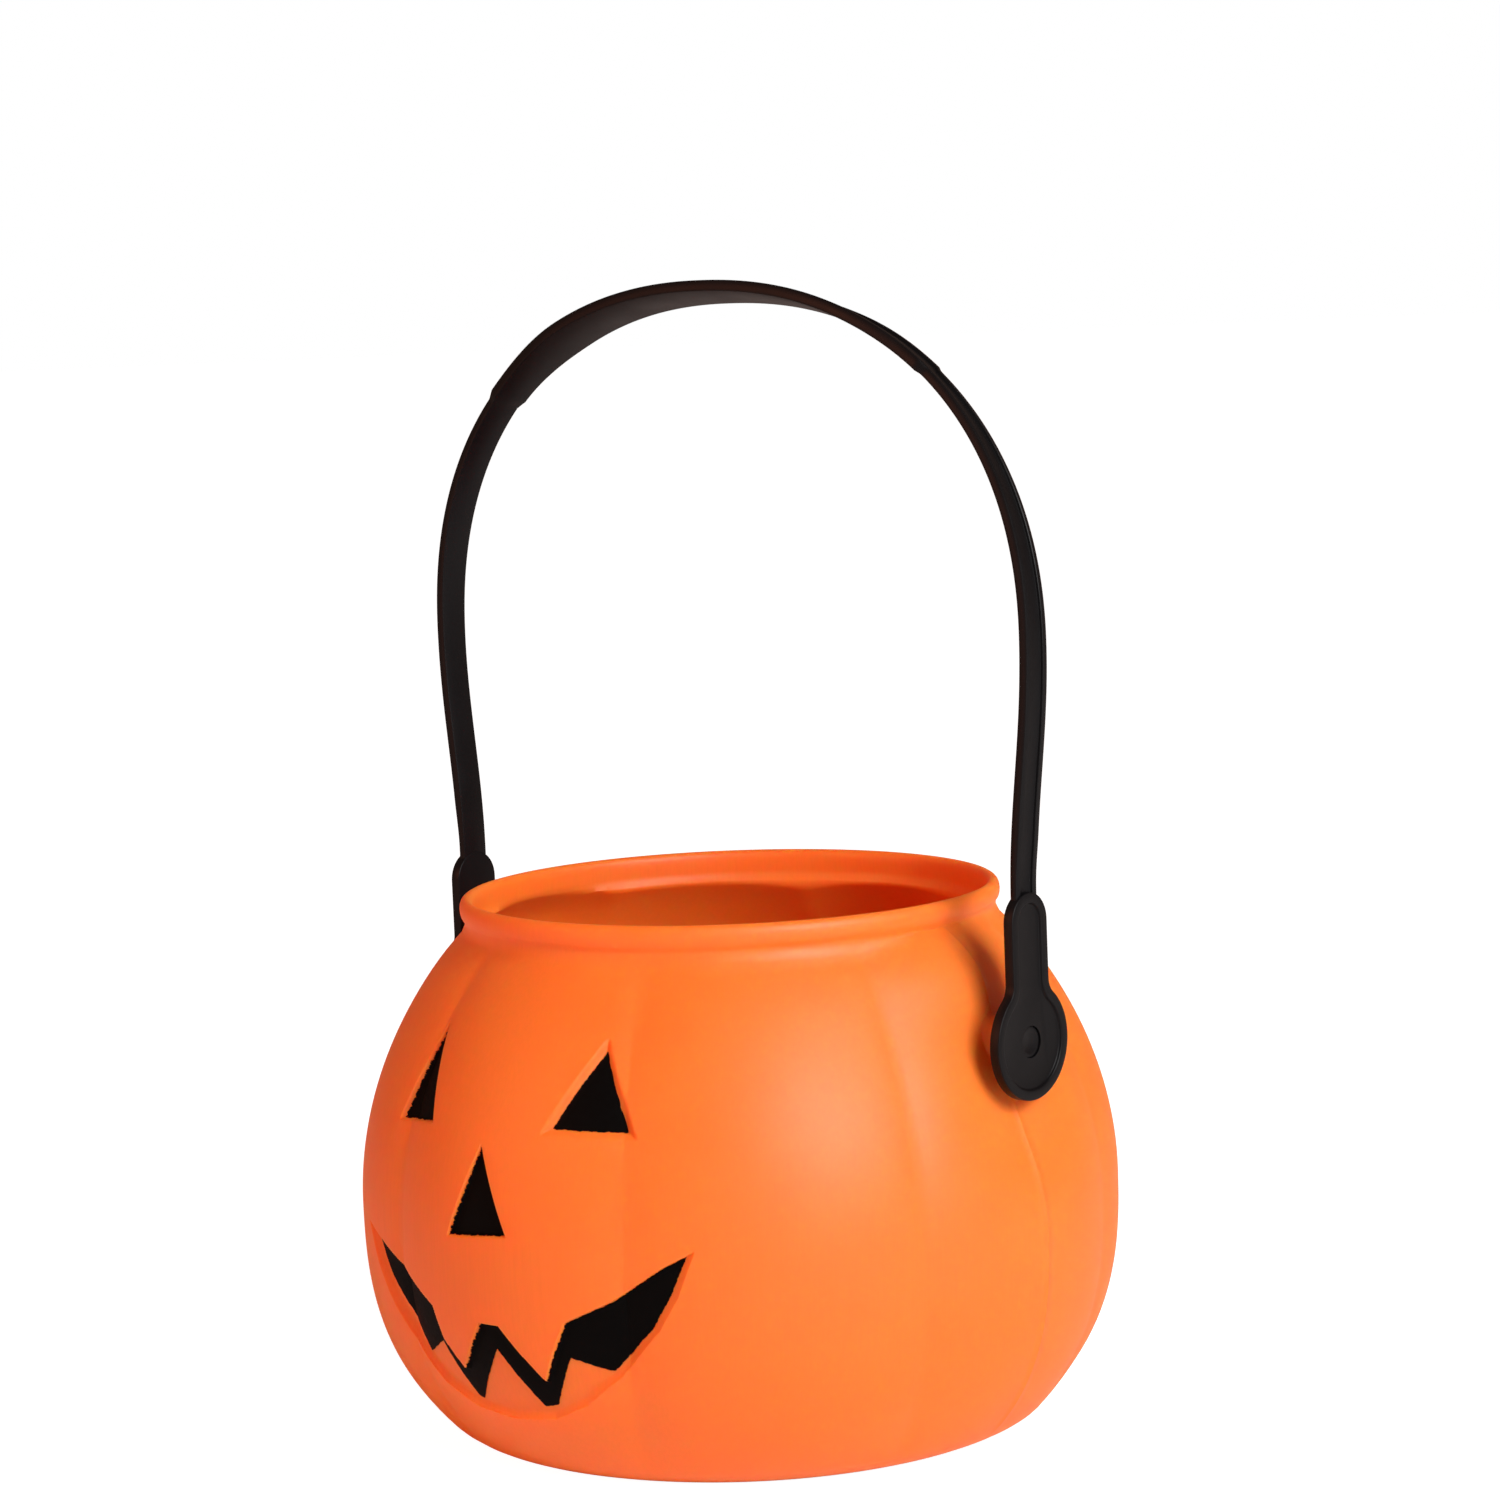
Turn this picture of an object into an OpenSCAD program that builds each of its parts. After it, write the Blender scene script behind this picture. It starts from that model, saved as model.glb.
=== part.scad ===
// Pumpkin pail: a hollow lobed bucket with a grinning face and a strap handle that swings.
// +Z is up, the face looks towards -Y, and the handle turns about an axis along X.
// Azimuth is counted from the middle of the face towards +X, so the pads sit at -90 and 90.

/* [Pail] */
// Height from the foot to the top of the lip
pail_h = 144; // [140:1:148]
// Radius on the crest of the lobes, where the pail is widest
belly_r = 102; // [100:0.5:104]
// Height of the widest place
belly_z = 64; // [60:1:68]
// Outer radius of the ring that the pail stands on
foot_r = 70; // [66:1:72]
// How far the middle of the base is pushed up
base_lift = 3; // [2:0.5:5]
// Outer radius of the lip
lip_r = 72.5; // [71.5:0.5:74]
// Radial thickness of the lip
lip_t = 3.4; // [3:0.2:4]
// Height of the lip's band above the collar
lip_h = 5.4; // [4.6:0.2:6]
// Height of the upright collar, lip included
collar_h = 7.5; // [6:0.5:9]
// Thickness of the moulded wall
wall = 1.8; // [1.5:0.1:2.2]

/* [Lobes] */
// Number of lobes round the pail
lobes = 8; // [8:4:12]
// Depth of the valley between two lobes
valley = 1.8; // [1:0.1:2.5]

/* [Sides under the handle] */
// How far the shoulder swells outwards above each pivot
swell = 4.5; // [3:0.5:5]
// How far the side is drawn in behind each handle pad
pad_hollow = 4.6; // [4.4:0.1:5]
// Radius of the boss round each stud hole
boss_r = 6; // [6:0.5:8]

/* [Face] */
// Depth of the moulded eyes, nose and mouth
face_depth = 1.8; // [1.4:0.1:2]
// Thickness of the layer that stands for the black paint
paint_t = 0.4; // [0.3:0.05:0.5]

/* [Handle loop] */
// Height of the pivot axis above the foot
pivot_z = 109.5; // [109:0.5:110]
// Half the distance between the middle planes of the two pads
pad_x = 96.2; // [96.2:0.1:97]
// Side play that hangs the handle towards +X
side_play = 1.75; // [1.5:0.05:1.75]
// How much further the top of the loop leans towards +X
lean = 1.45; // [0:0.05:2]
// Half width of the loop where it is widest
loop_x = 100.8; // [100:0.1:102]
// Height of the widest place of the loop
loop_z = 211; // [205:1:215]
// Height of the middle of the grip
top_z = 302.5; // [295:0.5:310]
// Squareness of the bow, where 2 gives an ellipse
bow_power = 2.2; // [2:0.05:2.4]

/* [Handle strap] */
// Width of the strap
strap_w = 9; // [8:0.5:10]
// Thickness of the strap
strap_t = 2.6; // [2.4:0.1:3]
// Width of the grip in its middle
grip_w = 14.5; // [13:0.5:16]
// Width of the grip at its two ends
grip_end_w = 10.8; // [10:0.2:12]
// Thickness of the grip
grip_t = 3.1; // [2.8:0.1:3.6]
// Half the length of the grip along X
grip_x = 73.5; // [66:0.5:75]
// How far the grip sits towards -X in the loop
grip_shift = 3; // [0:0.5:4]
// Roll of the grip about its own length, as the strap hangs
grip_roll = 15; // [0:1:17]
// Width of the raised borders of the strap and the grip
border_w = 1.9; // [1.5:0.1:2.2]
// Height of all raised borders
border_h = 0.8; // [0.6:0.1:1]

/* [Handle pads] */
// Radius of the round pad
pad_r = 15; // [14.5:0.5:16]
// Width of the neck between the pad and the strap
neck_w = 15; // [13:0.5:15]
// Height of the round top of the neck above the pivot
neck_top = 38.5; // [36:0.5:40]
// Thickness of pad and neck at their border
pad_t = 2.9; // [2.7:0.1:2.9]
// Width of the border round pad and neck
pad_border = 2.6; // [2.2:0.1:3]

/* [Snap studs] */
// Radius of the shank
shank_r = 3.2; // [3:0.1:3.4]
// Radius of the round head on the outside of the pad
head_r = 4.1; // [4:0.1:4.5]
// Thickness of the head, which lies in a seat in the pad
head_h = 0.8; // [0.6:0.1:0.9]
// Radius of the barb inside the pail
barb_r = 4.8; // [4.4:0.1:5]
// Length of the barb
barb_l = 6; // [5:0.5:7]
// Radial clearance of the shank in its bore
bore_gap = 0.06; // [0.03:0.01:0.08]

/* [Hidden] */
$fn = 64;
orange = "#f0782a";
black = "#1c1c1e";
paint_black = "#141414";
overlap = 0.5;        // how far joined solids run into each other
fillet_cut = 0.1;     // how far a neck's fillet runs into the disc, so that no sliver is left

// Shape of the belly: reach and power of the curve above and below the widest place
upper_reach = 100.7;
upper_power = 1.92;
lower_reach = 86.8;
lower_power = 2.7;
corner_h = 5;         // height of the rounded corner above the foot
collar_z = pail_h - collar_h;
collar_r = lip_r - 1.2;

// Side swell and hollow: heights of their middles and the distances at which they fade
swell_z = 130;
swell_fade = 11;
hollow_z = 93;
hollow_fade = 18;

// Grid of the pail's skin
column_step = 4.5;
outer_z = [0.4, 1.2, 2.6, 5, 9, each [for (z = [16 : 8 : 128]) z], 133, 136];
inner_z = [134, 126, 114, each [for (z = [98 : -16 : 18]) z], 9, 5];

// Outlines of the face in the front view, in mm from its middle and above the foot: first the
// moulded hollows, then the painted fields on their floors. The face is a little uneven, and
// the grin's upper edge has two raised teeth, while its lower teeth are bare floor.
eye_right_hollow = [[15.6, 94.8], [38.6, 94.2], [26, 116.6]];
eye_left_hollow = [[-42, 91.5], [-24, 93.4], [-30.2, 117]];
nose_hollow = [[-13.4, 66.5], [7.2, 68.5], [-2.9, 90.4]];
grin_top = [[-58.5, 62], [-49.3, 58.9], [-35.9, 53.3], [-22.4, 46.6], [-19.3, 38.2], [-12.8, 31.3],
            [-3.9, 45], [2.9, 45.1], [14.6, 31.4], [22.6, 47.6], [34.6, 53.5], [47.6, 62.6], [55, 66.8]];
grin_bottom = [[51, 55.4], [46, 46.6], [34.4, 33.8], [24.5, 25.8], [13.5, 20.6], [0, 19],
               [-13, 20.4], [-25, 25], [-35.5, 33.2], [-45.5, 43], [-53, 52.5]];
eye_right_paint = [[17.4, 95.7], [36.5, 95.2], [26.5, 114.2]];
eye_left_paint = [[-41.1, 92.1], [-24.7, 93.9], [-30.2, 115.8]];
nose_paint = [[-12.9, 66.9], [6.6, 68.9], [-2.9, 89.3]];
grin_paint = [[-55.5, 59.6], [-49.2, 58.5], [-36, 52.9], [-22.6, 46.3], [-19.5, 38], [-12.9, 30.9],
              [-3.8, 44.6], [2.8, 44.7], [14.6, 31], [22.8, 47.3], [34.7, 53.1], [47.6, 62.2],
              [53.4, 65.7], [49.3, 55.6], [44.6, 47.2], [32.9, 35], [22.3, 38.1], [15.1, 24.5],
              [10.9, 23.6], [0, 38.4], [-11, 22.6], [-13, 23.3], [-22.6, 36.9], [-31.2, 32],
              [-38.5, 41.6], [-48.3, 50.3]];
eye_right_window = [[4.5, 31.5], [88, 120]];
eye_left_window = [[-31.5, -4.5], [88, 120]];
nose_window = [[-13.5, 9], [64, 96]];
grin_window = [[-40.5, 40.5], [16, 72]];

// The handle's middle line: stations from the +X pad over the top to the -X pad
leg_foot = pivot_z + neck_top - 2.4;  // inside the border round the pad
bend_z = pivot_z + neck_top - 1;      // where the legs begin to spread
bow_steps = 12;
grip_steps = 12;
nib = 0.7;            // angle over which the strap widens into the grip
grip_taper = 5;       // stations over which the grip reaches its full width
roll_from = 200;
roll_to = 285;

function flat(list) = [for (part = list) each part];
function smooth(t) = let (c = min(1, max(0, t))) c * c * (3 - 2 * c);
function bell(distance, fade) = exp(-pow(distance / fade, 2));

// --- The pail's skin ---------------------------------------------------------------------

// Radius of the belly's plain curve at height z
function belly(z) =
    let (above = z > belly_z,
         reach = above ? upper_reach : lower_reach,
         power = above ? upper_power : lower_power)
    belly_r * sqrt(1 - pow(abs(z - belly_z) / reach, power));

// Share of a valley's depth at an azimuth: 0 on a crest, 1 in the bottom of a valley
function valley_share(azimuth) =
    let (pitch = 360 / lobes,
         from_crest = azimuth - pitch * round(azimuth / pitch))
    pow(2 * from_crest / pitch, 2);

// What the sides add to the radius near the handle's pivots
function side(z, azimuth) =
    let (across = belly_r * sin(abs(azimuth) - 90))
    swell * bell(z - swell_z, swell_fade) * bell(across, 2.2 * hollow_fade)
    - pad_hollow * bell(norm([across, z - hollow_z]), hollow_fade);

// What the rounded corner takes off just above the foot
function corner(z) =
    (belly(0) - foot_r) * (1 - sqrt(1 - pow(1 - min(z, corner_h) / corner_h, 2)));

// Outer radius of the pail
function skin(z, azimuth) =
    max(z > belly_z ? collar_r : 0,
        belly(z) - corner(z) + side(z, azimuth)
        - valley * smooth(z / 16) * valley_share(azimuth));

// Radial thickness that gives the sloping wall its true thickness
function radial_wall(z) =
    let (slope = (belly(z + 1) - belly(z - 1)) / 2)
    wall * sqrt(1 + min(slope * slope, 2));

function ring(z, r) = [for (a = [-180 : column_step : 179]) [r * sin(a), -r * cos(a), z]];
function skin_ring(z, inset) =
    [for (a = [-180 : column_step : 179])
        let (r = skin(z, a) - inset) [r * sin(a), -r * cos(a), z]];

// Closes a stack of rings into a solid, with a point at its first and its last end
module ring_solid(rings, first, last) {
    n = len(rings[0]);
    points = [first, each flat(rings), last];
    end = len(points) - 1;
    faces = [
        for (i = [0 : n - 1]) [0, 1 + i, 1 + (i + 1) % n],
        for (k = [0 : len(rings) - 2], i = [0 : n - 1])
            let (a = 1 + k * n + i, b = 1 + k * n + (i + 1) % n)
            each [[a, a + n, b], [b, a + n, b + n]],
        for (i = [0 : n - 1]) [end, end - n + (i + 1) % n, end - n + i]
    ];
    polyhedron(points, faces);
}

module skin_shell() {
    lip_in = lip_r - lip_t;
    neck_in = collar_r - wall;
    ring_solid(
        [
            ring(base_lift, foot_r - 16),
            ring(0, foot_r - 12),
            ring(0, foot_r),
            for (z = outer_z) skin_ring(z, 0),
            ring(collar_z, collar_r),
            ring(pail_h - lip_h - 0.8, collar_r),
            ring(pail_h - lip_h, lip_r),
            ring(pail_h - 0.9, lip_r),
            ring(pail_h, lip_r - 0.9),
            ring(pail_h, lip_in + 0.9),
            ring(pail_h - 0.9, lip_in),
            ring(pail_h - 2.6, lip_in),
            ring(collar_z, neck_in),
            for (z = inner_z) skin_ring(z, radial_wall(z)),
            ring(wall, foot_r - wall),
            ring(wall, foot_r - 13),
            ring(wall + base_lift, foot_r - 17)
        ],
        [0, 0, base_lift],
        [0, 0, base_lift + wall]);
}

// --- The face ----------------------------------------------------------------------------

// A block of the wall between two depths under the skin, over a window of azimuth and height
module skin_block(azimuths, heights, top, bottom) {
    columns = [for (a = [azimuths[0] : column_step : azimuths[1]]) a];
    rows = [for (z = [heights[0] : 8 : heights[1]]) z];
    function loop(k) =
        let (z = rows[k])
        [for (a = columns) let (r = skin(z, a) - top) [r * sin(a), -r * cos(a), z],
         for (i = [len(columns) - 1 : -1 : 0])
             let (a = columns[i], r = skin(z, a) - bottom) [r * sin(a), -r * cos(a), z]];
    stack = [for (k = [0 : len(rows) - 1]) loop(k)];
    n = 2 * len(columns);
    half = len(columns);
    rings = flat(stack);
    last = n * (len(rows) - 1);
    function cap(base, up) =
        [for (i = [0 : half - 2])
            let (a = base + i, b = base + i + 1, c = base + n - 2 - i, d = base + n - 1 - i)
            each up ? [[a, c, b], [a, d, c]] : [[a, b, c], [a, c, d]]];
    faces = [
        each cap(0, false),
        for (k = [0 : len(rows) - 2], i = [0 : n - 1])
            let (a = k * n + i, b = k * n + (i + 1) % n)
            each [[a, a + n, b], [b, a + n, b + n]],
        each cap(last, true)
    ];
    polyhedron(rings, faces);
}

module front_prism(outline, grow = 0) {
    rotate([90, 0, 0])
        linear_extrude(belly_r + 20)
            offset(delta = grow)
                polygon(outline);
}

// One feature of the face as a hollow in the wall, or as the plug that backs it from inside
module feature(outline, window, top, bottom, grow = 0) {
    intersection() {
        front_prism(outline, grow);
        skin_block(window[0], window[1], top, bottom);
    }
}

module all_features(top, bottom, grow = 0) {
    feature(eye_right_hollow, eye_right_window, top, bottom, grow);
    feature(eye_left_hollow, eye_left_window, top, bottom, grow);
    feature(nose_hollow, nose_window, top, bottom, grow);
    feature(concat(grin_top, grin_bottom), grin_window, top, bottom, grow);
}

module paint(outline, window) {
    color(paint_black) feature(outline, window, face_depth - paint_t, face_depth);
}

// --- Pivots ------------------------------------------------------------------------------

boss_out = pad_x - side_play - pad_t / 2 - 1.4;   // outer face of a boss, just clear of the pad
boss_in = boss_out - 7.3;
stud_reach = pad_x + side_play - pad_t / 2 - boss_in + 0.3;   // from the pad to the barb
head_top = pad_t - border_h - 0.4;                // top of the stud's head above the pad's back
seat_gap = 0.05;      // radial clearance of the head in its seat

module along_x(x0, x1, r0, r1) {
    translate([x0, 0, pivot_z])
        rotate([0, 90, 0])
            cylinder(h = x1 - x0, r1 = r0, r2 = r1);
}

module both_sides() {
    children();
    mirror([1, 0, 0]) children();
}

module pail_body() {
    color(orange)
        difference() {
            union() {
                skin_shell();
                all_features(wall - 0.6, face_depth + wall, wall);
                both_sides() along_x(boss_in, boss_out, boss_r, boss_r);
            }
            all_features(-8, face_depth);
            both_sides() along_x(boss_in - 5, boss_out + 5, shank_r + bore_gap, shank_r + bore_gap);
        }
}

// --- The handle --------------------------------------------------------------------------

// Outline of a pad and its neck, with the pivot at the origin and +Y up
module keyhole(disc, half_neck, top, fillet) {
    up = sqrt(pow(disc + fillet, 2) - pow(half_neck + fillet, 2));
    touch = disc / (disc + fillet);
    circle(r = disc);
    translate([-half_neck, 0]) square([2 * half_neck, top - half_neck]);
    translate([0, top - half_neck]) circle(r = half_neck);
    for (s = [-1, 1])
        difference() {
            polygon([[0, 0], [0, up], [s * (half_neck + fillet), up],
                     [s * (half_neck + fillet) * touch, up * touch]]);
            translate([s * (half_neck + fillet), up]) circle(r = fillet + fillet_cut);
        }
}

// A pad with its neck, lying on its inner face, with a shallow pocket in its outer face
module pad() {
    difference() {
        linear_extrude(pad_t) keyhole(pad_r, neck_w / 2, neck_top, 5);
        translate([0, 0, pad_t - border_h])
            linear_extrude(border_h + 1)
                keyhole(pad_r - pad_border, neck_w / 2 - pad_border, neck_top - pad_border,
                        5 + pad_border);
        translate([0, 0, head_top - head_h]) cylinder(h = pad_t, r = head_r + seat_gap);
        translate([0, 0, -1]) cylinder(h = pad_t + 2, r = shank_r + 0.02);
    }
}

module pad_at(x, s) {
    translate([x, 0, pivot_z]) rotate([90, 0, s * 90]) pad();
}

// Middle line of one half of the loop, before side play and lean, as points [x, z]. The grip
// begins at the distance "end" from the middle.
function leg_point(z) =
    let (t = max(0, (z - bend_z) / (loop_z - bend_z)))
    [pad_x + (loop_x - pad_x) * (1 - cos(180 * t)) / 2, z];
function bow_point(angle) =
    [loop_x * pow(cos(angle), 2 / bow_power),
     loop_z + (top_z - loop_z) * pow(sin(angle), 2 / bow_power)];
function half_line(end) =
    let (grip_angle = acos(pow(end / loop_x, bow_power / 2)))
    [for (z = [leg_foot : 7 : loop_z - 4]) leg_point(z),
     for (i = [0 : bow_steps]) bow_point(grip_angle * i / bow_steps),
     for (i = [0 : grip_steps - 1])
         bow_point(grip_angle + nib + (90 - grip_angle - nib) * i / grip_steps)];
right_half = half_line(grip_x - grip_shift);
left_half = half_line(grip_x + grip_shift);
middle_line = [
    each right_half,
    [0, top_z],
    for (i = [len(left_half) - 1 : -1 : 0]) [-left_half[i][0], left_half[i][1]]
];
strap_stations = len(right_half) - grip_steps;
last_station = len(middle_line) - 1;

function side_shift(z) = side_play + lean * max(0, z - bend_z) / (top_z - bend_z);
function loop_point(i) =
    let (p = middle_line[i]) [p[0] + side_shift(p[1]), 0, p[1]];
function loop_normal(i) =
    let (d = loop_point(min(i + 1, last_station)) - loop_point(max(i - 1, 0)))
    [d[2], 0, -d[0]] / norm(d);
function into_grip(i) = min(i, last_station - i) - strap_stations;
function roll(i) = grip_roll * smooth((middle_line[i][1] - roll_from) / (roll_to - roll_from));

// Cross-section [across, outwards] of the strap: flat inside, with two raised borders outside
function section(w, t) =
    let (c = 0.5, in = w / 2 - border_w, floor_n = t / 2 - border_h)
    [[-w / 2 + c, -t / 2], [w / 2 - c, -t / 2], [w / 2, -t / 2 + c],
     [w / 2, t / 2 - c], [w / 2 - c, t / 2], [in, t / 2], [in - 0.3, floor_n],
     [-in + 0.3, floor_n], [-in, t / 2], [-w / 2 + c, t / 2],
     [-w / 2, t / 2 - c], [-w / 2, -t / 2 + c]];

function loop_ring(i) =
    let (o = loop_point(i), n = loop_normal(i), a = roll(i),
         from_end = into_grip(i),
        grip_now = grip_end_w + (grip_w - grip_end_w) * smooth(from_end / grip_taper),
        outline = from_end >= 0 ? section(grip_now, grip_t) : section(strap_w, strap_t))
    [for (q = outline)
        o + [0, q[1] * sin(a) - q[0] * cos(a), 0] + n * (q[1] * cos(a) + q[0] * sin(a))];

// Closes the strap's cross-sections into a solid. The grooved ends are split at the groove.
module strap_solid(rings) {
    n = len(rings[0]);
    last = n * (len(rings) - 1);
    faces = [
        [6, 7, 0, 1, 2, 3, 4, 5],
        [7, 8, 9, 10, 11, 0],
        for (k = [0 : len(rings) - 2], i = [0 : n - 1])
            let (a = k * n + i, b = k * n + (i + 1) % n)
            each [[a, a + n, b], [b, a + n, b + n]],
        [for (i = [6, 5, 4, 3, 2, 1, 0, 7]) last + i],
        [for (i = [7, 0, 11, 10, 9, 8]) last + i]
    ];
    polyhedron(flat(rings), faces);
}

module handle_strap() {
    right = pad_x + side_play - pad_t / 2;
    left = -pad_x + side_play + pad_t / 2;
    color(black)
        union() {
            strap_solid([for (i = [0 : last_station]) loop_ring(i)]);
            pad_at(right, 1);
            pad_at(left, -1);
        }
}

// --- The studs ---------------------------------------------------------------------------

// A stud along +X, with the inner face of its pad at x
module stud(x) {
    top = x + head_top;
    shoulder = x - stud_reach;
    color(black)
        union() {
            along_x(top - head_h, top, head_r, head_r - 0.2);
            along_x(shoulder - overlap, top - head_h / 2, shank_r, shank_r);
            along_x(shoulder - barb_l, shoulder, shank_r - 0.8, barb_r);
        }
}

module stud_right() {
    stud(pad_x + side_play - pad_t / 2);
}

module stud_left() {
    mirror([1, 0, 0]) stud(pad_x - side_play - pad_t / 2);
}

pail_body();
paint(eye_left_paint, eye_left_window);  // eye_left
paint(eye_right_paint, eye_right_window);  // eye_right
paint(nose_paint, nose_window);  // nose
paint(grin_paint, grin_window);  // mouth
handle_strap();
stud_left();
stud_right();
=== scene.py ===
import math

import bpy
import numpy as np
from mathutils import Matrix, Vector


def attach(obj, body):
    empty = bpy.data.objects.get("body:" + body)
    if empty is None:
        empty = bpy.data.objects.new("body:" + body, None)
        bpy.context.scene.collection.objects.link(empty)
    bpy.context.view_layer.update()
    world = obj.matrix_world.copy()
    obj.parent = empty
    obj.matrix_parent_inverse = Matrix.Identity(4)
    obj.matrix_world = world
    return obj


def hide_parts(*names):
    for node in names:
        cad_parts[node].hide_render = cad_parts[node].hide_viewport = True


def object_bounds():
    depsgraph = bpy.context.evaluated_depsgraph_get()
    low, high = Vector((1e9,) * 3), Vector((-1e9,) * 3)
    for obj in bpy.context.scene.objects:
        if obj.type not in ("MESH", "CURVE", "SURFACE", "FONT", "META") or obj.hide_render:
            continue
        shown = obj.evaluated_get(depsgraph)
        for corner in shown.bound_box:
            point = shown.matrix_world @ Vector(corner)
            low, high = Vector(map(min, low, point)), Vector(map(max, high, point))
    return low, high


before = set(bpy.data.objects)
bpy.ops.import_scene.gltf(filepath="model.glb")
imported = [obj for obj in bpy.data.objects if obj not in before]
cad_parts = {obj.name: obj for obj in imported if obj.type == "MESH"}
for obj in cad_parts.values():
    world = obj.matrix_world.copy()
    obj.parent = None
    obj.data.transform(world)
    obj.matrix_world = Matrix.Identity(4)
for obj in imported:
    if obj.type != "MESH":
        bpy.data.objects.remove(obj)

CAD_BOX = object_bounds()
MM = 0.001


# ------------------------------------------------------------------------------------------
# Camera: a long lens 1.15 m from the pail's middle, turned 40 degrees towards the pad at +X
# and looking slightly down. The frame is square.

camera_distance = 1.15
camera_azimuth = math.radians(40.2)
camera_height = 0.3064
pitch_down = math.radians(6.26)
look_aside = math.radians(-0.35)
camera_roll = math.radians(2.27)
lens_length, film_width = 103.73, 36    # in mm
sight_limit = 20                        # in metres; the floor isn't drawn beyond it

look_azimuth = camera_azimuth + look_aside
look = Vector((-math.sin(look_azimuth) * math.cos(pitch_down),
               math.cos(look_azimuth) * math.cos(pitch_down),
               -math.sin(pitch_down)))
level = look.cross(Vector((0, 0, 1))).normalized()
over = level.cross(look)
right = level * math.cos(camera_roll) - over * math.sin(camera_roll)
up = over * math.cos(camera_roll) + level * math.sin(camera_roll)

camera_data = bpy.data.cameras.new("camera")
camera_data.sensor_width = film_width
camera_data.lens = lens_length
camera_data.clip_end = sight_limit
camera = bpy.data.objects.new("camera", camera_data)
bpy.context.scene.collection.objects.link(camera)
bpy.context.scene.camera = camera
camera.rotation_euler = Matrix((right, up, -look)).transposed().to_euler()
camera.location = (camera_distance * math.sin(camera_azimuth),
                   -camera_distance * math.cos(camera_azimuth), camera_height)
bpy.context.scene.view_settings.view_transform = "Standard"


# ------------------------------------------------------------------------------------------
# Pail shell: one hollow piece of orange polyethylene, blow-moulded in a two-part mould whose
# seam runs down both sides. The lobes, the sunk face, the bosses that carry the handle's studs
# and the rolled lip are all formed in the mould.

PAIL_TOP = 144
BELLY_R, BELLY_Z = 102, 64
REACH_UP, POWER_UP = 100.7, 1.92        # the belly's curve above its widest place
REACH_DOWN, POWER_DOWN = 86.8, 2.7      # and below it
FOOT_R, FOOT_CORNER, BASE_LIFT = 70, 5, 3
COLLAR_Z, COLLAR_R = 136.5, 71.3
LIP_OUT, LIP_IN = 72.5, 69.1
LIP_ROOT_Z = 138.2                      # where the collar turns out into the lip
WALL = 1.8
LOBE_PITCH, VALLEY, LOBE_RISE = 45, 1.8, 16     # the lobes reach full depth over their rise
CREASE, CREASE_FADE = 0.5, 0.12         # the line along each valley, and its share of half a lobe
CREASE_TOP, CREASE_RUN = 136, 12        # where the creases end, and over what height
SWELL, SWELL_Z, SWELL_FADE, SWELL_WIDTH = 4.5, 130, 11, 39.6    # the full shoulder at each side
HOLLOW, HOLLOW_Z, HOLLOW_FADE = 4.6, 93, 18                     # the hollow behind each pad
PIVOT_Z, BOSS_X, BOSS_IN, BOSS_R = 109.5, 91.6, 84.3, 6
BORE_R, BORE_OVERRUN = 3.26, 6
FACE_DEPTH = 1.8
SEAM_H, SEAM_HALF = 0.28, 0.2           # ridge of the mould's seam, in mm and degrees
SEAM_EDGE = 0.4                         # degrees from the seam to where its columns end

EYE_RIGHT = [(15.6, 94.8), (38.6, 94.2), (26, 116.6)]
EYE_LEFT = [(-42, 91.5), (-24, 93.4), (-30.2, 117)]
NOSE = [(-13.4, 66.5), (7.2, 68.5), (-2.9, 90.4)]
GRIN_TOP = [(-58.5, 62), (-49.3, 58.9), (-35.9, 53.3), (-22.4, 46.6), (-19.3, 38.2),
            (-12.8, 31.3), (-3.9, 45), (2.9, 45.1), (14.6, 31.4), (22.6, 47.6), (34.6, 53.5),
            (47.6, 62.6), (55, 66.8)]
GRIN_BOTTOM = [(55, 66.8), (51, 55.4), (46, 46.6), (34.4, 33.8), (24.5, 25.8), (13.5, 20.6),
               (0, 19), (-13, 20.4), (-25, 25), (-35.5, 33.2), (-45.5, 43), (-53, 52.5),
               (-58.5, 62)]
GRIN = GRIN_TOP + GRIN_BOTTOM[1:-1]


def smooth(t):
    """Rises softly from 0 to 1 while t does."""
    t = np.clip(t, 0, 1)
    return t * t * (3 - 2 * t)


def bell(distance, fade):
    """A soft bump: 1 in its middle and nearly 0 at twice the fade."""
    return np.exp(-(distance / fade) ** 2)


def belly(z):
    """Radius of the plain belly at height z, with its rounded corner above the foot."""
    above = z > BELLY_Z
    reach = np.where(above, REACH_UP, REACH_DOWN)
    power = np.where(above, POWER_UP, POWER_DOWN)
    foot = BELLY_R * math.sqrt(1 - (BELLY_Z / REACH_DOWN) ** POWER_DOWN)
    low = 1 - np.clip(z, 0, FOOT_CORNER) / FOOT_CORNER
    return (BELLY_R * np.sqrt(1 - np.minimum(np.abs(z - BELLY_Z) / reach, 1) ** power)
            - (foot - FOOT_R) * (1 - np.sqrt(1 - low ** 2)))


def plain_skin(z):
    """Radius of the pail before its lobes are drawn in: the belly, or the collar above it."""
    return np.maximum(belly(z), np.where(z > BELLY_Z, COLLAR_R, 0))


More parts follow.
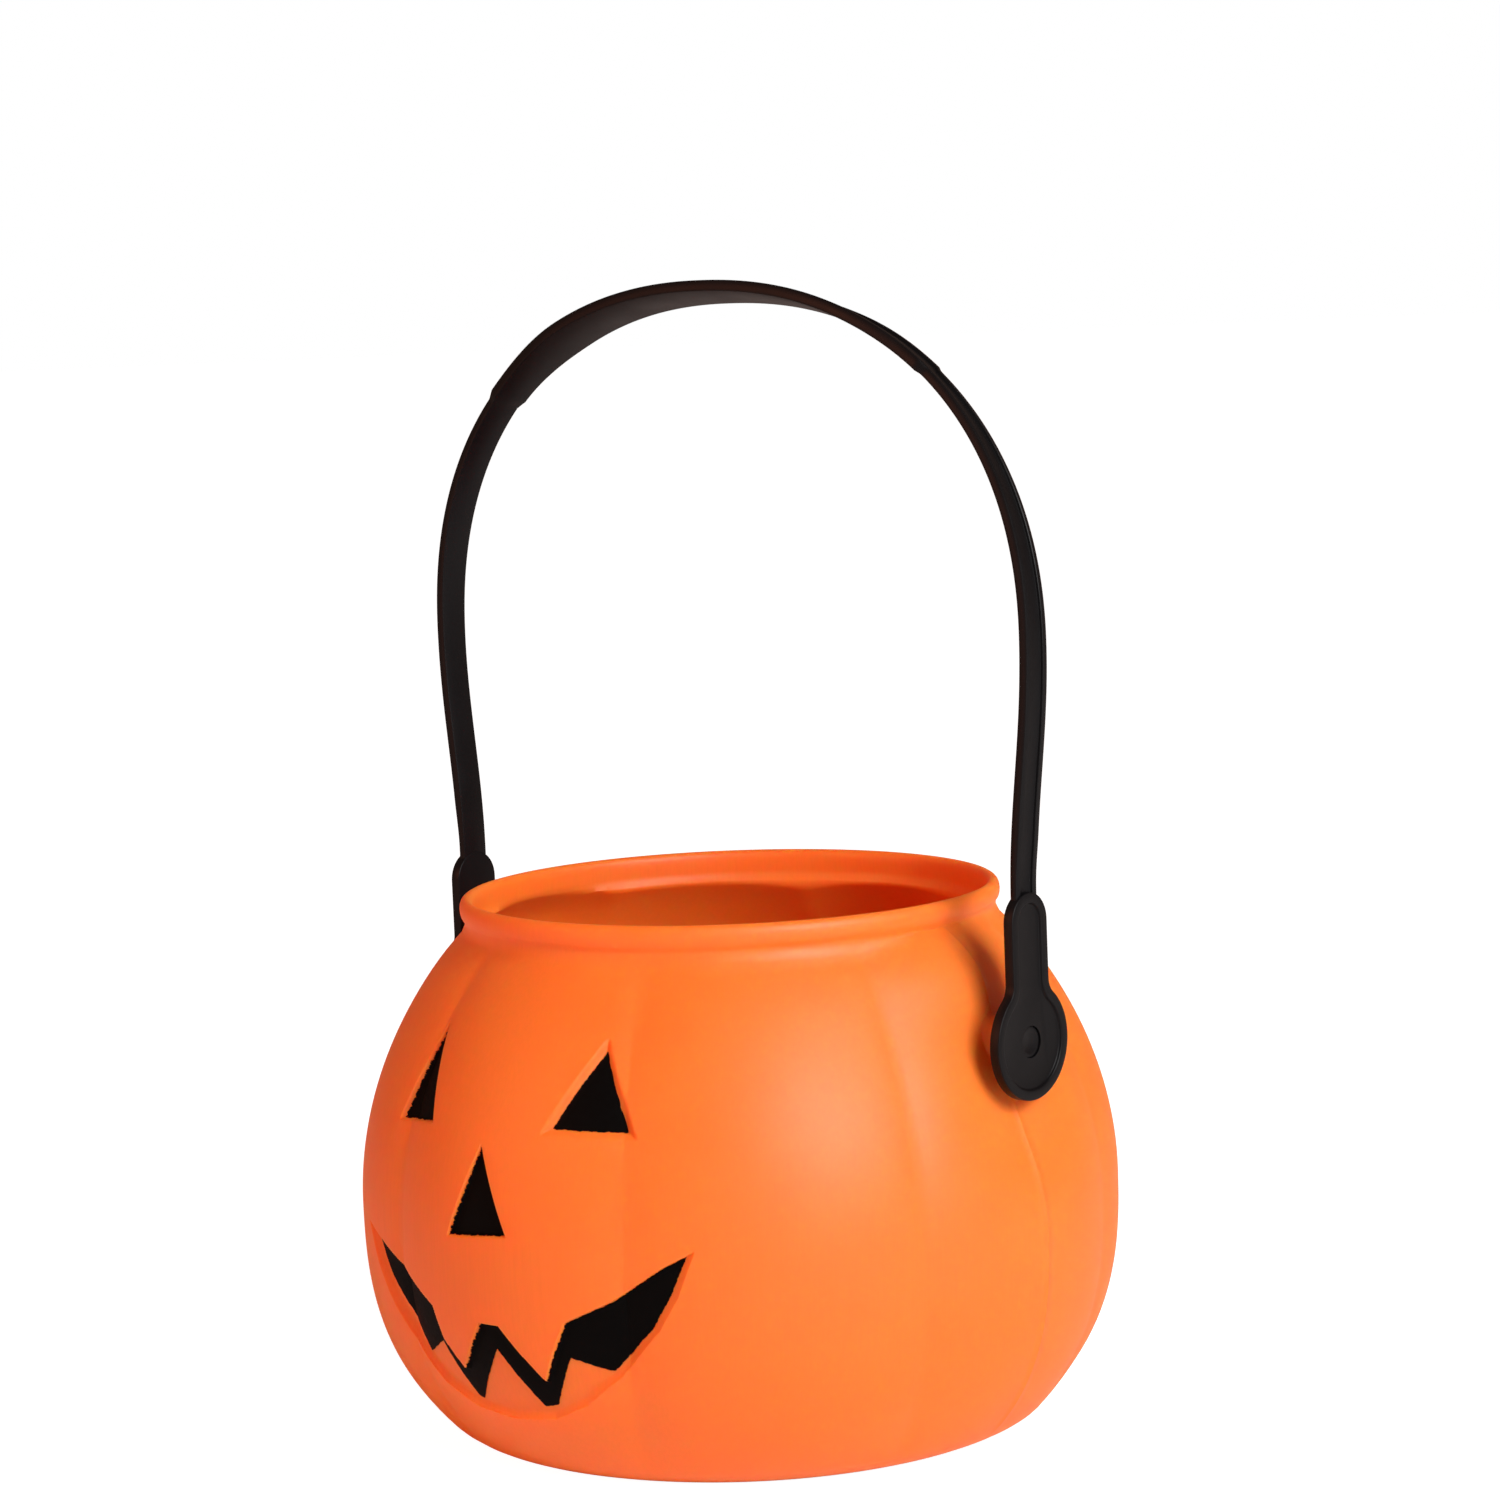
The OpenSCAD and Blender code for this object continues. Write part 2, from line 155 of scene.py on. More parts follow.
def skin(z, azimuth):
    """Outer radius: the belly with its lobes, its swelling sides and the hollow behind each pad."""
    from_crest = azimuth - LOBE_PITCH * np.round(azimuth / LOBE_PITCH)
    across = BELLY_R * np.sin(np.radians(np.abs(azimuth) - 90))
    swelling = SWELL * bell(z - SWELL_Z, SWELL_FADE) * bell(across, SWELL_WIDTH)
    hollow = HOLLOW * bell(np.hypot(across, z - HOLLOW_Z), HOLLOW_FADE)
    across_lobe = 2 * np.abs(from_crest) / LOBE_PITCH
    crease = CREASE * np.exp((across_lobe - 1) / CREASE_FADE) * smooth((CREASE_TOP - z) / CREASE_RUN)
    lobed = (belly(z) + swelling - hollow
             - smooth(z / LOBE_RISE) * (VALLEY * across_lobe ** 2 + crease))
    return np.maximum(np.where(z > BELLY_Z, COLLAR_R, 0), lobed)


def wall_at(z):
    """Thickness of the wall measured outwards from the pail's axis, where the wall slopes."""
    slope = (belly(z + 1) - belly(z - 1)) / 2
    return WALL * np.sqrt(1 + np.minimum(slope * slope, 2))


def reach_to(line, u, z, closed=True):
    """Distance in the front view from each point to a line, and whether it lies inside it."""
    start = np.array(line, float)
    end = np.roll(start, -1, 0)
    run = end - start
    count = len(start) if closed else len(start) - 1
    nearest = np.full(len(u), 1e9)
    inside = np.zeros(len(u), bool)
    for i in range(count):
        du, dz = u - start[i, 0], z - start[i, 1]
        t = np.clip((du * run[i, 0] + dz * run[i, 1]) / (run[i] ** 2).sum(), 0, 1)
        nearest = np.minimum(nearest, np.hypot(du - t * run[i, 0], dz - t * run[i, 1]))
        if closed:
            spans = (start[i, 1] > z) != (end[i, 1] > z)
            rise = run[i, 1] if run[i, 1] else 1e-9
            inside ^= spans & (u < start[i, 0] + (z - start[i, 1]) * run[i, 0] / rise)
    return nearest, inside


def depth_in(outline, u, z):
    """Distance to an outline, counted positive inside it."""
    nearest, inside = reach_to(outline, u, z)
    return np.where(inside, nearest, -nearest)


def steep(d):
    """How far a crisp side has sunk at the distance d inside its edge, from 0 to 1."""
    return smooth((d + 0.25) / 0.9)


def gentle(d, run=2.4):
    """The same for a side that slopes down over a longer run."""
    return smooth((d + 0.9) / run)


def face_sink(u, z):
    """How far the moulded face is sunk at each point of the front view, from 0 to 1."""
    sink = np.maximum(steep(depth_in(EYE_LEFT, u, z)), steep(depth_in(NOSE, u, z)))
    sink = np.maximum(sink, gentle(depth_in(EYE_RIGHT, u, z)))
    sign = np.where(reach_to(GRIN, u, z)[1], 1, -1)
    top = sign * reach_to(GRIN_TOP, u, z, closed=False)[0]
    bottom = sign * reach_to(GRIN_BOTTOM, u, z, closed=False)[0]
    return np.maximum(sink, np.minimum(steep(top), gentle(bottom, 3)))


def face_reach(u, z):
    """Distance to the nearest edge of the moulded face, counted positive inside it."""
    reach = np.maximum(depth_in(EYE_LEFT, u, z), depth_in(NOSE, u, z))
    reach = np.maximum(reach, depth_in(EYE_RIGHT, u, z))
    return np.maximum(reach, depth_in(GRIN, u, z))


def read(piece):
    """The piece's points in millimetres."""
    flat = np.empty(len(piece.data.vertices) * 3)
    piece.data.vertices.foreach_get("co", flat)
    return flat.reshape(-1, 3) / MM


def write(piece, points):
    """Moves the piece's points to new places in millimetres."""
    piece.data.vertices.foreach_set("co", (points * MM).ravel())
    piece.data.update()


def trace(name, points):
    """Draws a line by hand: a plane merged to one point, which is extruded from point to point."""
    bpy.ops.object.select_all(action="DESELECT")
    bpy.ops.mesh.primitive_plane_add(size=MM)
    piece = bpy.context.active_object
    piece.name = piece.data.name = name
    bpy.ops.object.mode_set(mode="EDIT")
    bpy.ops.mesh.select_mode(type="VERT")
    bpy.ops.mesh.select_all(action="SELECT")
    bpy.ops.mesh.merge(type="CENTER")
    here = Vector(points[0]) * MM
    bpy.ops.transform.translate(value=here)
    for point in points[1:]:
        there = Vector(point) * MM
        bpy.ops.mesh.extrude_region_move(TRANSFORM_OT_translate={"value": there - here})
        here = there
    return piece


def pick_faces(piece, wanted):
    """Selects the faces whose middles satisfy a rule, and leaves the piece in edit mode."""
    bpy.ops.object.mode_set(mode="OBJECT")
    mesh = piece.data
    middles = np.empty(len(mesh.polygons) * 3)
    mesh.polygons.foreach_get("center", middles)
    chosen = wanted(middles.reshape(-1, 3) / MM)
    mesh.vertices.foreach_set("select", np.zeros(len(mesh.vertices), bool))
    mesh.edges.foreach_set("select", np.zeros(len(mesh.edges), bool))
    mesh.polygons.foreach_set("select", chosen)
    bpy.ops.object.mode_set(mode="EDIT")
    bpy.ops.mesh.select_mode(type="FACE")


def close_up(piece):
    """Merges what a spin left double, turns the faces outwards and goes back to object mode."""
    bpy.ops.object.mode_set(mode="EDIT")
    bpy.ops.mesh.select_all(action="SELECT")
    bpy.ops.mesh.remove_doubles(threshold=0.01 * MM)
    bpy.ops.mesh.normals_make_consistent(inside=False)
    bpy.ops.object.mode_set(mode="OBJECT")


def use_tool(piece, tool, operation, solver="EXACT"):
    """Joins or cuts a piece with another one, which is used up."""
    modifier = piece.modifiers.new("tool", "BOOLEAN")
    modifier.operation = operation
    modifier.object = tool
    modifier.solver = solver
    bpy.ops.object.select_all(action="DESELECT")
    bpy.context.view_layer.objects.active = piece
    piece.select_set(True)
    bpy.ops.object.modifier_apply(modifier="tool")
    bpy.data.objects.remove(tool)


def rod(start, end, radius):
    """A round tool along X between two places, centred on the pivot axis."""
    bpy.ops.object.select_all(action="DESELECT")
    bpy.ops.mesh.primitive_cylinder_add(
        vertices=96, radius=radius * MM, depth=abs(end - start) * MM,
        location=((start + end) / 2 * MM, 0, PIVOT_Z * MM), rotation=(0, math.pi / 2, 0))
    bpy.ops.object.transform_apply(location=True, rotation=True, scale=True)
    return bpy.context.active_object


# Heights of the rings of points, closest where the wall turns
outer_rows = ([0, 0.2, 0.6, 1.1, 1.8, 2.7, 3.8, 5, 7, 9, 11.5]
              + [14 + 2.5 * i for i in range(50)])
inner_rows = ([135.6, 134.8, 134, 133, 132, 130.5, 129, 127]
              + [124 - 4 * i for i in range(30)] + [5])
profile = [(0, BASE_LIFT), (30, BASE_LIFT), (54, BASE_LIFT), (56, 1.2), (58, 0), (64, 0)]
profile += [(float(plain_skin(z)), z) for z in outer_rows]
profile += [(COLLAR_R, 137.3), (COLLAR_R + 0.1, 137.8), (COLLAR_R + 0.45, 138.3)]
profile += [(LIP_OUT - 0.35, 139), (LIP_OUT - 0.1, 140), (LIP_OUT, 141.2), (LIP_OUT - 0.1, 142.2),
            (LIP_OUT - 0.4, 143), (LIP_OUT - 0.9, 143.6), (LIP_OUT - 1.4, 143.9),
            (LIP_OUT - 1.8, PAIL_TOP), (LIP_IN + 1.1, 143.9), (LIP_IN + 0.6, 143.6),
            (LIP_IN + 0.2, 143), (LIP_IN, 142.2), (LIP_IN, 141), (LIP_IN + 0.15, 139.6),
            (LIP_IN + 0.3, 138.2), (COLLAR_R - WALL, 136.8)]
profile += [(float(plain_skin(z) - wall_at(z)), z) for z in inner_rows]
profile += [(FOOT_R - WALL, WALL), (57, WALL), (55, 3), (53, BASE_LIFT + WALL),
            (30, BASE_LIFT + WALL), (0, BASE_LIFT + WALL)]
seam_start = math.radians(-90 - SEAM_EDGE)
pail = trace("pail_shell", [(r * math.sin(seam_start), -r * math.cos(seam_start), z)
                            for r, z in profile])
bpy.ops.mesh.select_all(action="SELECT")
# Narrow columns run down both seams, and even ones round the front and the back
for degrees, steps in [(0.25, 1), (0.3, 2), (0.25, 1), (179.2, 144),
                       (0.25, 1), (0.3, 2), (0.25, 1), (179.2, 128)]:
    bpy.ops.mesh.spin(steps=steps, angle=-math.radians(degrees), center=(0, 0, 0), axis=(0, 0, 1))
close_up(pail)


def on_outside(p):
    """Picks the points of the plain spun shell that lie on its outer face."""
    r = np.hypot(p[:, 0], p[:, 1])
    return (r > plain_skin(p[:, 2]) - WALL / 2) & (p[:, 2] < COLLAR_Z + 0.1) & (p[:, 2] > 0.01)


def face_place(p):
    """Places in the front view, taken halfway down the sunk face."""
    azimuth = np.degrees(np.arctan2(p[:, 0], -p[:, 1]))
    halfway = skin(p[:, 2], azimuth) - FACE_DEPTH / 2
    return halfway * np.sin(np.radians(azimuth)), p[:, 2]


def near_face(p, before, after):
    """Picks the outer places from some way outside the edges of the face to some way inside."""
    front = (p[:, 1] < -50) & (p[:, 2] > 12) & (p[:, 2] < 125) & on_outside(p)
    reach = np.full(len(p), -99.0)
    reach[front] = face_reach(*face_place(p[front]))
    return (reach > -before) & (reach < after)


def near_pivot(p, radius):
    """Picks the places round both ends of the pivot axis."""
    return (np.hypot(p[:, 1], p[:, 2] - PIVOT_Z) < radius) & (np.abs(p[:, 0]) > 60)


# Finer faces where the face's edges and the bosses need them
pick_faces(pail, lambda p: near_face(p, 4.5, 4.5) | near_pivot(p, 11))
bpy.ops.mesh.subdivide(number_cuts=2)
pick_faces(pail, lambda p: near_face(p, 1.4, 2.0) | near_pivot(p, 8.5))
bpy.ops.mesh.subdivide(number_cuts=2)
bpy.ops.object.mode_set(mode="OBJECT")

# The lobes, the sunk face and the seams; inside, the wall follows the outer face
points = read(pail)
azimuth = np.degrees(np.arctan2(points[:, 0], -points[:, 1]))
radius = np.hypot(points[:, 0], points[:, 1])
height = points[:, 2]
outside = on_outside(points)
inside = ~outside & (height > BASE_LIFT + WALL + 0.1) & (height < COLLAR_Z - 0.1)
front = points[:, 1] < -50

sink = np.zeros(len(points))
u, z = face_place(points[outside & front])
sink[outside & front] = face_sink(u, z)
u, z = face_place(points[inside & front])
sink[inside & front] = smooth((face_reach(u, z) + 5) / 3)
seam = SEAM_H * smooth(1.6 - np.abs(np.abs(azimuth) - 90) / SEAM_HALF)
shaped = skin(height, azimuth) - FACE_DEPTH * sink
radius = np.where(outside, shaped + seam * smooth((height - 2) / 6), radius)
radius = np.where(inside, shaped - wall_at(height), radius)
points[:, 0] = radius * np.sin(np.radians(azimuth))
points[:, 1] = -radius * np.cos(np.radians(azimuth))

# The root of the lip runs a little up and down, as it left the mould
round_lip = bell(height - LIP_ROOT_Z, 1.3) * (np.hypot(points[:, 0], points[:, 1]) > COLLAR_R - 0.5)
points[:, 2] -= round_lip * (0.35 * np.sin(np.radians(2 * azimuth + 50))
                             + 0.2 * np.sin(np.radians(5 * azimuth)))

# A flat round boss at each end of the pivot axis, outside and inside
from_pivot = np.hypot(points[:, 1], height - PIVOT_Z)
side = np.sign(points[:, 0])
boss = smooth((BOSS_R + 0.7 - from_pivot) / 0.9)
reach_x = np.abs(points[:, 0])
on_boss = outside & (reach_x > 60)
reach_x = np.where(on_boss, reach_x + boss * (BOSS_X - reach_x), reach_x)
in_boss = inside & (reach_x > 60)
reach_x = np.where(in_boss, reach_x - boss * (reach_x - BOSS_IN), reach_x)
points[:, 0] = np.clip(side * reach_x, CAD_BOX[0][0] / MM, CAD_BOX[1][0] / MM)
write(pail, points)
close_up(pail)

for s in (-1, 1):
    bore = rod(s * (BOSS_IN - BORE_OVERRUN), s * (BOSS_X + BORE_OVERRUN), BORE_R)
    use_tool(pail, bore, "DIFFERENCE", "MANIFOLD")
bpy.ops.object.shade_smooth_by_angle(angle=math.radians(60))

COLOUR_A, COLOUR_B, COLOUR_OUT = 6, 7, 2    # sockets of a Mix node that mixes colours


def linear(code):
    """A colour written as sRGB hex, as the linear values that a shader takes."""
    parts = [int(code[i:i + 2], 16) / 255 for i in (1, 3, 5)]
    return [c / 12.92 if c <= 0.04045 else ((c + 0.055) / 1.055) ** 2.4 for c in parts] + [1]


def add(owner, kind, settings=(), links=()):
    """Adds a node, sets its values by name or socket number, and joins its inputs to outputs."""
    node = owner.node_tree.nodes.new(kind)
    for name, value in dict(settings).items():
        if isinstance(name, int) or name in node.inputs:
            node.inputs[name].default_value = value
        else:
            setattr(node, name, value)
    for name, output in dict(links).items():
        owner.node_tree.links.new(output, node.inputs[name])
    return node


def new_material(name):
    """A material with no nodes yet."""
    material = bpy.data.materials.new(name)
    material.use_nodes = True
    material.node_tree.nodes.clear()
    return material


def dress(piece, material):
    """Gives a piece one material all over."""
    piece.data.materials.clear()
    piece.data.materials.append(material)
    piece.data.polygons.foreach_set("material_index", np.zeros(len(piece.data.polygons), int))


# Blow-moulded polyethylene: satin, and orange right through, so that red light spreads in it
# and its shaded parts stay deep in colour. Fine upright drag lines come from the hot tube that
# is blown up in the mould, a shallow pebble from the mould's blasted face, and a slow
# cloudiness gives it a waxy look.
shell_orange = new_material("blow_moulded_polyethylene")
drag_across, drag_along = 0.9 * MM, 14 * MM
cloud_size, pebble_size = 35 * MM, 1.1 * MM
place = add(shell_orange, "ShaderNodeTexCoord").outputs["Object"]
drag = add(shell_orange, "ShaderNodeMapping",
           {"Scale": (1 / drag_across, 1 / drag_across, 1 / drag_along)}, {"Vector": place})
lines = add(shell_orange, "ShaderNodeTexNoise", {"Scale": 1, "Detail": 3, "Roughness": 0.6},
            {"Vector": drag.outputs[0]})
cloud = add(shell_orange, "ShaderNodeTexNoise",
            {"Scale": 1 / cloud_size, "Detail": 2, "Roughness": 0.5}, {"Vector": place})
pebble = add(shell_orange, "ShaderNodeTexNoise", {"Scale": 1 / pebble_size, "Detail": 2},
             {"Vector": place})
tint = add(shell_orange, "ShaderNodeMix",
           {"data_type": "RGBA", COLOUR_A: linear("#FA7422"), COLOUR_B: linear("#FC7E2A")},
           {"Factor": cloud.outputs["Fac"]})
streak = add(shell_orange, "ShaderNodeMix",
             {"data_type": "RGBA", "blend_type": "MULTIPLY", "Factor": 0.1},
             {COLOUR_A: tint.outputs[COLOUR_OUT], COLOUR_B: lines.outputs["Fac"]})
rough = add(shell_orange, "ShaderNodeMapRange", {"To Min": 0.46, "To Max": 0.56},
            {"Value": cloud.outputs["Fac"]})
drag_bump = add(shell_orange, "ShaderNodeBump", {"Strength": 0.35, "Distance": 0.06 * MM},
                {"Height": lines.outputs["Fac"]})
pebble_bump = add(shell_orange, "ShaderNodeBump", {"Strength": 0.3, "Distance": 0.04 * MM},
                  {"Height": pebble.outputs["Fac"], "Normal": drag_bump.outputs[0]})
shader = add(shell_orange, "ShaderNodeBsdfPrincipled",
             {"IOR": 1.5, "Specular IOR Level": 0.4, "Subsurface Weight": 1.0,
              "Subsurface Scale": 5 * MM, "Subsurface Radius": (1.0, 0.2, 0.05)},
             {"Base Color": streak.outputs[COLOUR_OUT], "Roughness": rough.outputs[0],
              "Normal": pebble_bump.outputs[0]})
add(shell_orange, "ShaderNodeOutputMaterial", (), {"Surface": shader.outputs[0]})
dress(pail, shell_orange)
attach(pail, "pail")
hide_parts("pail_body")


# ------------------------------------------------------------------------------------------
# Black paint of the eyes, the nose and the grin: four thin coats, sprayed through a mask onto
# the floors of the moulded hollows. The mask's edge leaves the outlines a little wavy.

COAT, COAT_LIFT = 0.08, 0.07            # thickness, and height above the hollow's floor
COAT_GRID = 0.22
EYE_RIGHT_COAT = [(17.4, 95.7), (36.5, 95.2), (26.5, 114.2)]
EYE_LEFT_COAT = [(-41.5, 91.8), (-24.2, 93.7), (-30.2, 116.5)]
NOSE_COAT = [(-13.1, 66.8), (6.9, 68.7), (-2.9, 89.9)]
GRIN_COAT = [(-55.6, 59.9), (-49.2, 58.7), (-36, 53.1), (-22.6, 46.4), (-19.5, 38.1),
             (-12.9, 31), (-3.8, 44.8), (2.8, 44.9), (14.6, 31.1), (22.8, 47.5), (34.7, 53.3),
             (47.6, 62.4), (53.4, 65.7), (49.3, 55.6), (44.6, 47.2), (32.9, 35), (22.3, 38.1),
             (15.1, 24.5), (10.9, 23.6), (0, 38.4), (-11, 22.6), (-13, 23.3), (-22.6, 36.9),
             (-31.2, 32), (-38.5, 41.6), (-48.3, 50.3)]


def on_skin(u, z, lift):
    """Points on the moulded outer face at places of the front view, lifted off it a little."""
    azimuth = np.degrees(np.arcsin(u / (BELLY_R - 4)))
    for _ in range(12):
        azimuth = np.degrees(np.arcsin(u / (skin(z, azimuth) - FACE_DEPTH / 2)))
    r = skin(z, azimuth) - FACE_DEPTH * face_sink(u, z) + lift
    turn = np.radians(azimuth)
    return np.stack([r * np.sin(turn), -r * np.cos(turn), z], 1)


def mask_edge(outline, u, z):
    """Distance inside a painted outline, with the slight waves of the mask's edge."""
    wave = 0.09 * np.sin(1.7 * u + 0.6 * z) * np.sin(1.3 * z - 0.5 * u)
    return depth_in(outline, u, z) + wave + 0.04 * np.sin(4.1 * u + 3.3 * z)


# Sprayed black paint: thin, nearly matt and almost without a shine, with a faint mottle from
# the spray, drawn at 1.2 mm so that it shows.
face_black = new_material("sprayed_black_paint")
mottle_size = 1.2 * MM
place = add(face_black, "ShaderNodeTexCoord").outputs["Object"]
mottle = add(face_black, "ShaderNodeTexNoise", {"Scale": 1 / mottle_size, "Detail": 3},
             {"Vector": place})
shade = add(face_black, "ShaderNodeMix",
            {"data_type": "RGBA", COLOUR_A: linear("#020202"), COLOUR_B: linear("#050505")},
            {"Factor": mottle.outputs["Fac"]})
rough = add(face_black, "ShaderNodeMapRange", {"To Min": 0.5, "To Max": 0.68},
            {"Value": mottle.outputs["Fac"]})
spray = add(face_black, "ShaderNodeBump", {"Strength": 0.3, "Distance": 0.03 * MM},
            {"Height": mottle.outputs["Fac"]})
shader = add(face_black, "ShaderNodeBsdfPrincipled", {"IOR": 1.45, "Specular IOR Level": 0.05},
             {"Base Color": shade.outputs[COLOUR_OUT], "Roughness": rough.outputs[0],
              "Normal": spray.outputs[0]})
add(face_black, "ShaderNodeOutputMaterial", (), {"Surface": shader.outputs[0]})


def coat(name, outline, node):
    """One coat: a fine grid cut to its outline, laid on the hollow's floor and thickened."""
    corners = np.array(outline)
    low, high = corners.min(0) - 1, corners.max(0) + 1
    cells = np.ceil((high - low) / COAT_GRID).astype(int)
    bpy.ops.object.select_all(action="DESELECT")
    bpy.ops.mesh.primitive_grid_add(x_subdivisions=int(cells[0]), y_subdivisions=int(cells[1]),
                                    size=2 * MM, rotation=(math.pi / 2, 0, 0))
    piece = bpy.context.active_object
    piece.name = piece.data.name = name
    piece.scale = ((high[0] - low[0]) / 2, (high[1] - low[1]) / 2, 1)
    piece.location = ((low[0] + high[0]) / 2 * MM, 0, (low[1] + high[1]) / 2 * MM)
    bpy.ops.object.transform_apply(location=True, rotation=True, scale=True)
    pick_faces(piece, lambda p: mask_edge(outline, p[:, 0], p[:, 2]) < 0)
    bpy.ops.mesh.delete(type="FACE")
    bpy.ops.object.mode_set(mode="OBJECT")
    points = read(piece)
    u, z = points[:, 0], points[:, 2]
    step = 0.02
    # The jagged rim of the grid is pulled onto the outline
    for _ in range(2):
        off = mask_edge(outline, u, z)
        gu = (mask_edge(outline, u + step, z) - mask_edge(outline, u - step, z)) / (2 * step)
        gz = (mask_edge(outline, u, z + step) - mask_edge(outline, u, z - step)) / (2 * step)
        pull = np.where(off < 0.45 * COAT_GRID, off, 0) / np.maximum(gu ** 2 + gz ** 2, 0.3)
        u, z = u - pull * gu, z - pull * gz
    write(piece, on_skin(u, z, COAT_LIFT))
    wall = piece.modifiers.new("coat", "SOLIDIFY")
    wall.thickness = COAT * MM
    wall.offset = 1
    bpy.ops.object.modifier_apply(modifier="coat")
    bpy.ops.object.shade_smooth_by_angle(angle=math.radians(50))
    dress(piece, face_black)
    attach(piece, "pail")
    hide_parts(node)


coat("eye_left_coat", EYE_LEFT_COAT, "eye_left")
coat("eye_right_coat", EYE_RIGHT_COAT, "eye_right")
coat("nose_coat", NOSE_COAT, "nose")
coat("grin_coat", GRIN_COAT, "mouth")


# ------------------------------------------------------------------------------------------
# Handle: one injection-moulded strap of black polypropylene. It has raised borders along its
# outside, widens into the grip at the top, and ends in a round pad with a neck on each side.

PAD_X, SIDE_PLAY, LEAN = 96.2, 1.75, 1.45
LOOP_X, LOOP_Z, TOP_Z, BOW_POWER = 100.8, 211, 302.5, 2.2
STRAP_W, STRAP_T, GROOVE, BORDER = 9, 2.6, 0.8, 1.9
GRIP_W, GRIP_END_W, GRIP_T, GRIP_X, GRIP_SHIFT = 14.5, 10.8, 3.1, 73.5, 3
GRIP_TAPER = 26                         # mm over which the grip reaches its full width
GRIP_ROLL, ROLL_FROM, ROLL_RUN = math.radians(15), 200, 85      # the turn of the loop's upper part
PAD_R, NECK_W, NECK_TOP, PAD_T, PAD_BORDER = 15, 15, 38.5, 2.9, 2.6
NECK_FILLET, POCKET_SIDE, PAD_EDGE = 5, 0.25, 0.28
STRAP_DIP = 0.5                         # how much lower the strap's outside lies at the pads
BEND_Z = PIVOT_Z + NECK_TOP - 1         # where the legs begin to spread
STRAP_FOOT = PIVOT_Z + NECK_TOP - 2.4   # where the strap starts, inside the border of the pad
STATIONS = 300


def loop_side():
    """One half of the strap's middle line from its pad to the top, as points [x, z]."""
    points = []
    for z in np.linspace(STRAP_FOOT, LOOP_Z, 40)[:-1]:
        t = max(0, (z - BEND_Z) / (LOOP_Z - BEND_Z))
        points.append((PAD_X + (LOOP_X - PAD_X) * (1 - math.cos(math.pi * t)) / 2, z))
    for angle in np.radians(np.linspace(0, 90, 241)):
        points.append((LOOP_X * math.cos(angle) ** (2 / BOW_POWER),
                       LOOP_Z + (TOP_Z - LOOP_Z) * math.sin(angle) ** (2 / BOW_POWER)))
    return points


right_side = loop_side()
line = np.array(right_side + [(-x, z) for x, z in reversed(right_side[:-1])])
line[:, 0] = np.where(np.abs(line[:, 0]) < 1e-6, 0, line[:, 0])
plain_x = line[:, 0].copy()
line[:, 0] += SIDE_PLAY + LEAN * np.maximum(0, line[:, 1] - BEND_Z) / (TOP_Z - BEND_Z)
lengths = np.concatenate([[0], np.cumsum(np.hypot(*np.diff(line, axis=0).T))])
along = np.linspace(0, lengths[-1], STATIONS + 1)

# Half of the cross-section, then its mirror image: flat inside, with a groove between borders
half, top, floor = STRAP_W / 2, STRAP_T / 2, STRAP_T / 2 - GROOVE
rim = half - BORDER
section = [(-half + 0.5, -top), (0, -top), (half - 0.5, -top), (half - 0.15, -top + 0.15),
           (half, -top + 0.5), (half, top - 0.5), (half - 0.15, top - 0.15), (half - 0.5, top),
           (rim + 0.2, top), (rim, top - 0.15), (rim - 0.15, floor + 0.12), (rim - 0.4, floor),
           (0, floor)]
section += [(-across, out) for across, out in reversed(section[3:12])]
strap = trace("handle_strap_skin", [(0, across, out) for across, out in section])
bpy.ops.mesh.select_all(action="SELECT")
bpy.ops.mesh.edge_face_add()
for _ in range(STATIONS):
    bpy.ops.mesh.extrude_region_move(TRANSFORM_OT_translate={"value": (MM, 0, 0)})
bpy.ops.object.mode_set(mode="OBJECT")

# The straight strap is laid along its middle line, widened into the grip and rolled
points = read(strap)
station = np.clip(np.round(points[:, 0]).astype(int), 0, STATIONS)
s = along[station]
x, z = np.interp(s, lengths, line[:, 0]), np.interp(s, lengths, line[:, 1])
middle_x = np.interp(s, lengths, plain_x)
dx = np.interp(s + 1, lengths, line[:, 0]) - np.interp(s - 1, lengths, line[:, 0])
dz = np.interp(s + 1, lengths, line[:, 1]) - np.interp(s - 1, lengths, line[:, 1])
run = np.hypot(dx, dz)
nx, nz = dz / run, -dx / run
from_end = np.where(middle_x > 0, GRIP_X - GRIP_SHIFT - middle_x, GRIP_X + GRIP_SHIFT + middle_x)
is_grip = smooth(from_end / 1.2 + 0.5)
width = STRAP_W + is_grip * (GRIP_END_W - STRAP_W
                             + (GRIP_W - GRIP_END_W) * smooth(from_end / GRIP_TAPER))
thick = STRAP_T + is_grip * (GRIP_T - STRAP_T)
across = points[:, 1] + np.sign(points[:, 1]) * (width - STRAP_W) / 2
out = points[:, 2] + np.where(points[:, 2] > 0, 1, -1) * (thick - STRAP_T) / 2
from_pad = np.minimum(s, lengths[-1] - s)
out -= np.where(points[:, 2] > 0, STRAP_DIP, 0) * (1 - smooth((from_pad - 4) / 14))
roll = GRIP_ROLL * smooth((z - ROLL_FROM) / ROLL_RUN)
rolled = out * np.cos(roll) + across * np.sin(roll)
sideways = out * np.sin(roll) - across * np.cos(roll)
points = np.stack([x + nx * rolled, sideways, z + nz * rolled], 1)
points[:, 0] = np.clip(points[:, 0], CAD_BOX[0][0] / MM, CAD_BOX[1][0] / MM)
write(strap, points)
close_up(strap)


